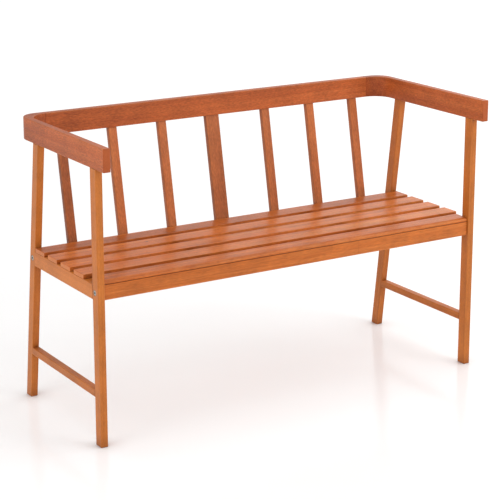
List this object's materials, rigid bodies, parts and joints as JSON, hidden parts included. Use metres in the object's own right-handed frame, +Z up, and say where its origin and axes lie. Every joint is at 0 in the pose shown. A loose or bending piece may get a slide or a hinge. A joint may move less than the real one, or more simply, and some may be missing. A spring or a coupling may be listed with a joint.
{
  "type": "outdoor bench",
  "caption": "Slatted hardwood garden bench: a rail curves from the back into both arms, leaning spindles fill the back, the rear legs rake backwards and low stretchers tie the sides.",
  "frame": {"origin": "on the floor, in the middle of the bench's length and depth", "axes": "+X runs along the bench, to the right of someone who looks at its front; -Y is the front and +Y the back; +Z is up; left and right in names are that onlooker's"},
  "size_m": [1.2, 0.503, 0.788],
  "materials": {
    "frame_wood": "oiled eucalyptus, satin, fine straight grain up the leg",
    "rail_wood": "oiled eucalyptus, satin, grain along the rail",
    "spindle_wood": "oiled eucalyptus, satin, a little darker than the seat",
    "apron_wood": "oiled eucalyptus, satin, warm orange brown",
    "slat_wood": "oiled eucalyptus, satin, lighter and pinker on top",
    "dowel_wood": "raw beech, matt",
    "zinc_steel": "zinc-plated steel, dull grey"
  },
  "bodies": {
    "root": {"left_front_leg": "frame_wood", "right_front_leg": "frame_wood", "left_rear_leg": "frame_wood", "right_rear_leg": "frame_wood", "left_side_rail": "frame_wood", "right_side_rail": "frame_wood", "left_stretcher": "frame_wood", "right_stretcher": "frame_wood", "left_arm": "rail_wood", "right_arm": "rail_wood", "back_rail": "rail_wood", "spindle_1": "spindle_wood", "spindle_2": "spindle_wood", "spindle_3": "spindle_wood", "spindle_4": "spindle_wood", "spindle_5": "spindle_wood", "spindle_6": "spindle_wood", "centre_splat": "spindle_wood", "front_apron": "apron_wood", "rear_apron": "apron_wood", "left_bearer": "apron_wood", "right_bearer": "apron_wood", "seat_slat_1": "slat_wood", "seat_slat_2": "slat_wood", "seat_slat_3": "slat_wood", "seat_slat_4": "slat_wood", "front_slat": "slat_wood", "leg_dowels": "dowel_wood", "side_rail_dowels": "dowel_wood", "stretcher_dowels": "dowel_wood", "corner_dowels": "dowel_wood", "bearer_dowels": "dowel_wood", "frame_bolts": "zinc_steel", "barrel_nuts": "zinc_steel", "slat_screws": "zinc_steel"}
  },
  "joints": []
}
